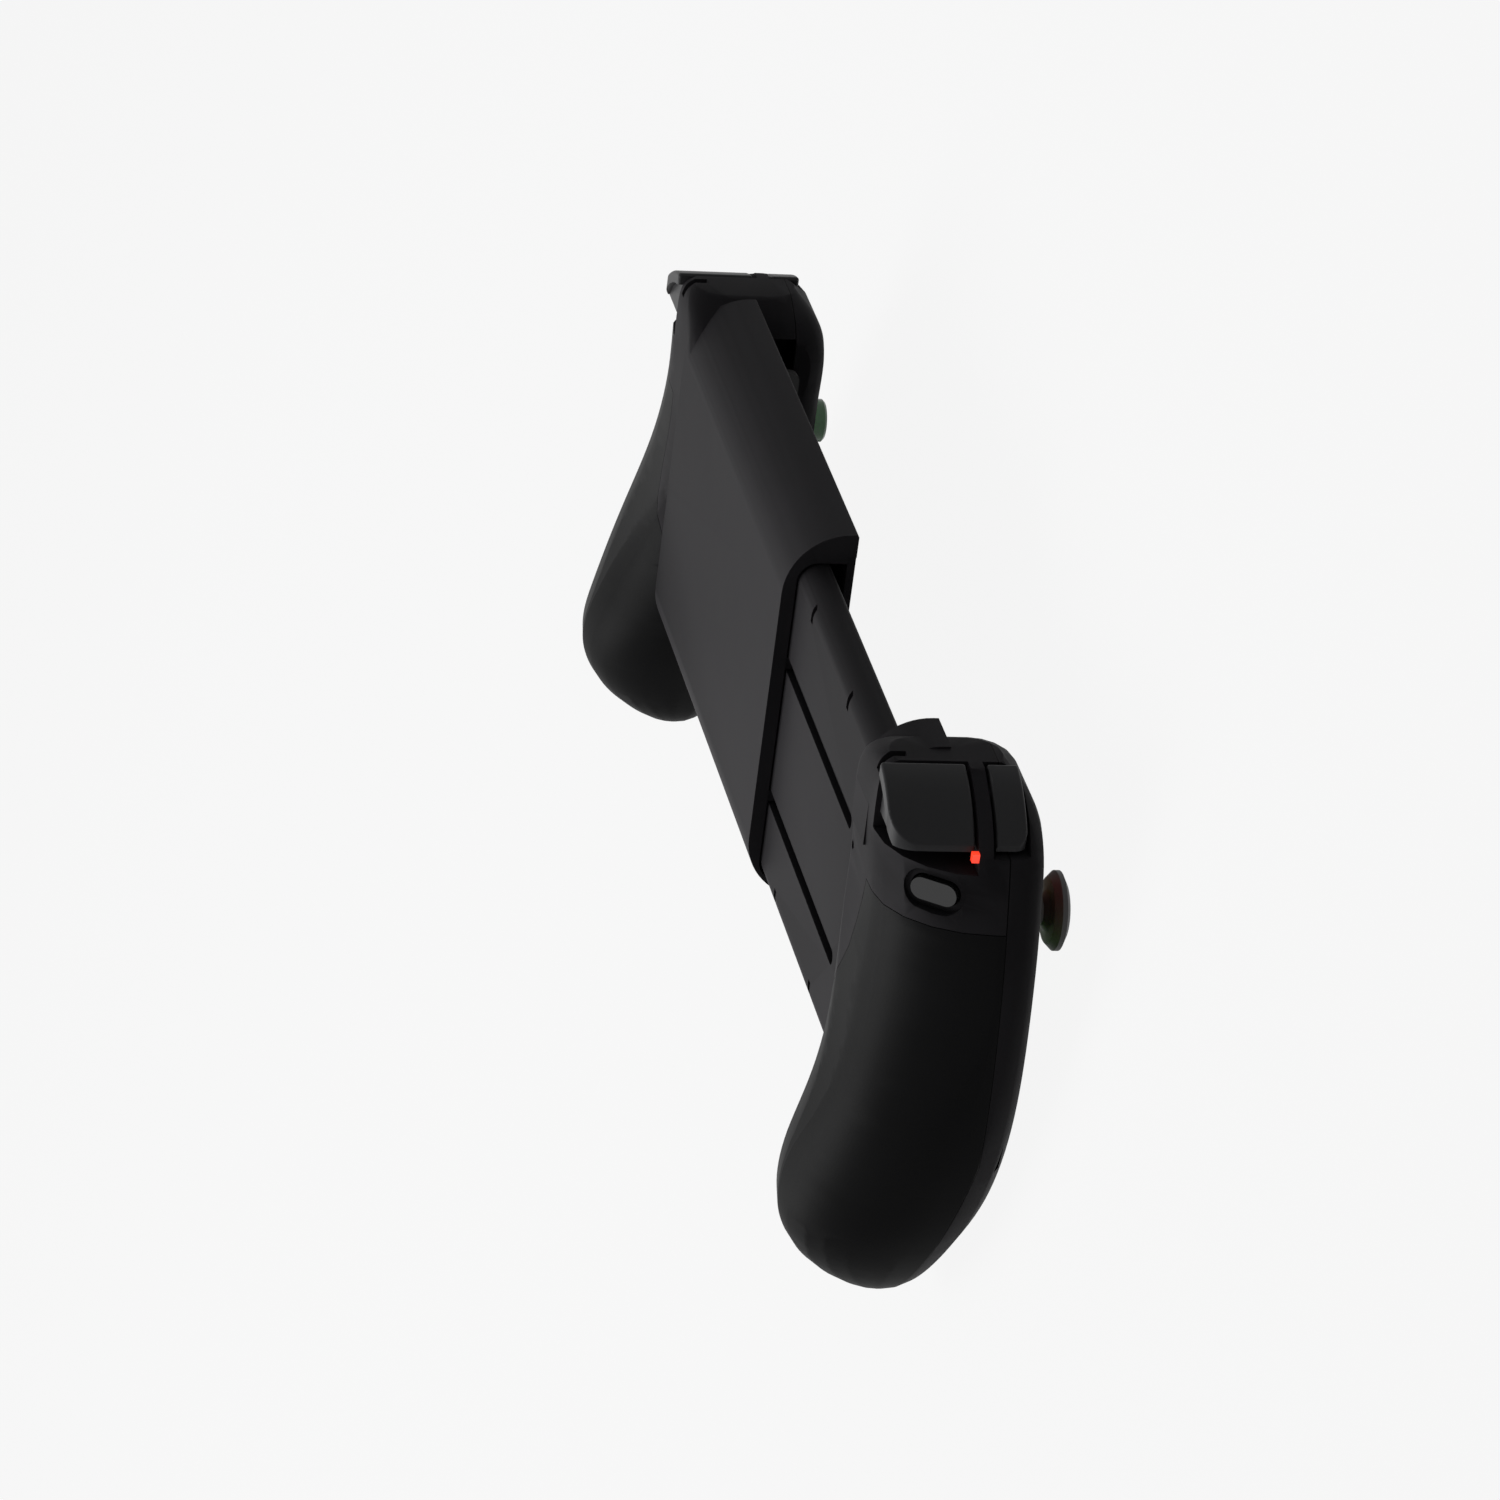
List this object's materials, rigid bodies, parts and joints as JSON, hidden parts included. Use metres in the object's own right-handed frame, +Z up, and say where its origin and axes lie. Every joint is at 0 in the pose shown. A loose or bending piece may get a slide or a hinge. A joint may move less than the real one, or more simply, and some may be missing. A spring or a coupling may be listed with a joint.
{
  "type": "mobile game controller",
  "caption": "Telescoping game controller for a phone: two gripped modules with sticks, direction pad, buttons and triggers, joined by a sliding bridge that clamps the phone.",
  "frame": {"origin": "centre of the bounding box at its base, on the surface the controller rests on", "axes": "+X from the right-hand module to the left-hand one (as the player holds them) along the bridge, +Y from the grips to the triggers, +Z up, out of the rear; it lies face down on its two stick caps and the left grip"},
  "size_m": [0.2648, 0.105, 0.0497],
  "materials": {
    "shell": "fine satin moulding",
    "grip": "fine texture",
    "control": "satin",
    "pad": "soft matt",
    "plug": "satin",
    "steel": "satin",
    "red_light": "clear red, lit",
    "ring_light": "translucent, lit",
    "stick_rubber": "soft matt",
    "stick_plastic": "plain",
    "board": "solder mask",
    "silicone": "soft",
    "cable": "thin film",
    "button_dark": "satin",
    "button_green": "gloss",
    "button_red": "gloss",
    "button_blue": "gloss",
    "button_yellow": "gloss"
  },
  "bodies": {
    "right_module": {"right_rear_shell": "shell", "bridge_bed": "shell", "right_front_shell": "shell", "right_grip_cover": "grip", "right_phone_pad": "pad", "phone_plug": "plug", "right_light_ring": "ring_light", "right_stick_housing": "stick_plastic", "right_main_board": "board", "right_key_board": "board", "right_membrane": "silicone", "right_board_screws": "steel", "bridge_ribbon": "cable", "right_trigger_pin": "steel", "right_bumper_pin": "steel"},
    "left_module": {"left_rear_shell": "shell", "left_front_shell": "shell", "left_grip_cover": "grip", "left_phone_pad": "pad", "left_light_ring": "ring_light", "left_stick_housing": "stick_plastic", "left_main_board": "board", "left_key_board": "board", "left_membrane": "silicone", "left_board_screws": "steel", "slide_rails": "steel", "shoulder_light": "red_light", "left_trigger_pin": "steel", "left_bumper_pin": "steel"},
    "left_trigger": {"left_trigger": "control"},
    "left_bumper": {"left_bumper": "control"},
    "left_stick_rocker": {"left_stick_rocker": "stick_plastic"},
    "left_stick_yoke": {"left_stick_yoke": "stick_plastic"},
    "left_stick": {"left_stick_shaft": "stick_plastic", "left_stick_cap": "stick_rubber"},
    "left_back_button": {"left_back_button": "button_dark"},
    "right_trigger": {"right_trigger": "control"},
    "right_bumper": {"right_bumper": "control"},
    "right_stick_rocker": {"right_stick_rocker": "stick_plastic"},
    "right_stick_yoke": {"right_stick_yoke": "stick_plastic"},
    "right_stick": {"right_stick_shaft": "stick_plastic", "right_stick_cap": "stick_rubber"},
    "right_back_button": {"right_back_button": "button_dark"},
    "face_button_upper": {"face_button_upper": "button_blue"},
    "face_button_lower": {"face_button_lower": "button_yellow"},
    "face_button_inner": {"face_button_inner": "button_green"},
    "face_button_outer": {"face_button_outer": "button_red"},
    "view_button": {"view_button": "button_dark"},
    "share_button": {"share_button": "button_dark"},
    "menu_button": {"menu_button": "button_dark"},
    "home_button": {"home_button": "button_dark"},
    "d_pad_pivot": {"d_pad_pivot": "stick_plastic"},
    "d_pad": {"d_pad": "button_dark"}
  },
  "joints": [
    {"name": "bridge_slide", "type": "slide", "parent": "right_module", "child": "left_module", "axis": [0.9996, 0.003, -0.0273], "range_m": [-0.062, 0.011]},
    {"name": "left_trigger_pull", "type": "hinge", "parent": "left_module", "child": "left_trigger", "pos_m": [0.11717, 0.04219, 0.02889], "axis": [0.9996, 0.003, -0.0273], "range_deg": [0, 14], "stiffness_Nm_per_rad": 0.06},
    {"name": "left_bumper_press", "type": "hinge", "parent": "left_module", "child": "left_bumper", "pos_m": [0.10674, 0.04717, 0.02137], "axis": [-0.0273, 0.2161, -0.976], "range_deg": [0, 1.6], "stiffness_Nm_per_rad": 0.3},
    {"name": "left_stick_up_down", "type": "hinge", "parent": "left_module", "child": "left_stick_rocker", "pos_m": [0.10503, 0.02201, 0.02168], "axis": [0.9996, 0.003, -0.0273], "range_deg": [-18, 18], "stiffness_Nm_per_rad": 0.1},
    {"name": "left_stick_sideways", "type": "hinge", "parent": "left_stick_rocker", "child": "left_stick_yoke", "pos_m": [0.10503, 0.02201, 0.02168], "axis": [0.003, 0.9764, 0.2161], "range_deg": [-18, 18], "stiffness_Nm_per_rad": 0.1},
    {"name": "left_stick_click", "type": "slide", "parent": "left_stick_yoke", "child": "left_stick", "axis": [0.0273, -0.2161, 0.976], "range_m": [0, 0.0005], "stiffness_N_per_m": 3000},
    {"name": "left_back_button_press", "type": "slide", "parent": "left_module", "child": "left_back_button", "axis": [-0.8345, 0.1215, -0.5375], "range_m": [0, 0.0007], "stiffness_N_per_m": 1500},
    {"name": "right_trigger_pull", "type": "hinge", "parent": "right_module", "child": "right_trigger", "pos_m": [-0.11675, 0.0415, 0.03527], "axis": [0.9996, 0.003, -0.0273], "range_deg": [0, 14], "stiffness_Nm_per_rad": 0.06},
    {"name": "right_bumper_press", "type": "hinge", "parent": "right_module", "child": "right_bumper", "pos_m": [-0.10678, 0.04653, 0.02719], "axis": [0.0273, -0.2161, 0.976], "range_deg": [0, 1.6], "stiffness_Nm_per_rad": 0.3},
    {"name": "right_stick_up_down", "type": "hinge", "parent": "right_module", "child": "right_stick_rocker", "pos_m": [-0.10897, -0.00499, 0.02168], "axis": [0.9996, 0.003, -0.0273], "range_deg": [-18, 18], "stiffness_Nm_per_rad": 0.1},
    {"name": "right_stick_sideways", "type": "hinge", "parent": "right_stick_rocker", "child": "right_stick_yoke", "pos_m": [-0.10897, -0.00499, 0.02168], "axis": [0.003, 0.9764, 0.2161], "range_deg": [-18, 18], "stiffness_Nm_per_rad": 0.1},
    {"name": "right_stick_click", "type": "slide", "parent": "right_stick_yoke", "child": "right_stick", "axis": [0.0273, -0.2161, 0.976], "range_m": [0, 0.0005], "stiffness_N_per_m": 3000},
    {"name": "right_back_button_press", "type": "slide", "parent": "right_module", "child": "right_back_button", "axis": [0.8032, 0.1264, -0.5821], "range_m": [0, 0.0007], "stiffness_N_per_m": 1500},
    {"name": "face_button_upper_press", "type": "slide", "parent": "right_module", "child": "face_button_upper", "axis": [0.0273, -0.2161, 0.976], "range_m": [0, 0.0012], "stiffness_N_per_m": 800},
    {"name": "face_button_lower_press", "type": "slide", "parent": "right_module", "child": "face_button_lower", "axis": [0.0273, -0.2161, 0.976], "range_m": [0, 0.0012], "stiffness_N_per_m": 800},
    {"name": "face_button_inner_press", "type": "slide", "parent": "right_module", "child": "face_button_inner", "axis": [0.0273, -0.2161, 0.976], "range_m": [0, 0.0012], "stiffness_N_per_m": 800},
    {"name": "face_button_outer_press", "type": "slide", "parent": "right_module", "child": "face_button_outer", "axis": [0.0273, -0.2161, 0.976], "range_m": [0, 0.0012], "stiffness_N_per_m": 800},
    {"name": "view_button_press", "type": "slide", "parent": "left_module", "child": "view_button", "axis": [0.0273, -0.2161, 0.976], "range_m": [0, 0.0006], "stiffness_N_per_m": 1200},
    {"name": "share_button_press", "type": "slide", "parent": "left_module", "child": "share_button", "axis": [0.0273, -0.2161, 0.976], "range_m": [0, 0.0006], "stiffness_N_per_m": 1200},
    {"name": "menu_button_press", "type": "slide", "parent": "right_module", "child": "menu_button", "axis": [0.0273, -0.2161, 0.976], "range_m": [0, 0.0006], "stiffness_N_per_m": 1200},
    {"name": "home_button_press", "type": "slide", "parent": "right_module", "child": "home_button", "axis": [0.0273, -0.2161, 0.976], "range_m": [0, 0.0006], "stiffness_N_per_m": 1200},
    {"name": "d_pad_up_down", "type": "hinge", "parent": "left_module", "child": "d_pad_pivot", "pos_m": [0.10872, -0.00257, 0.00774], "axis": [0.9996, 0.003, -0.0273], "range_deg": [-3, 3], "stiffness_Nm_per_rad": 0.12},
    {"name": "d_pad_sideways", "type": "hinge", "parent": "d_pad_pivot", "child": "d_pad", "pos_m": [0.10872, -0.00257, 0.00774], "axis": [0.003, 0.9764, 0.2161], "range_deg": [-3, 3], "stiffness_Nm_per_rad": 0.12}
  ]
}
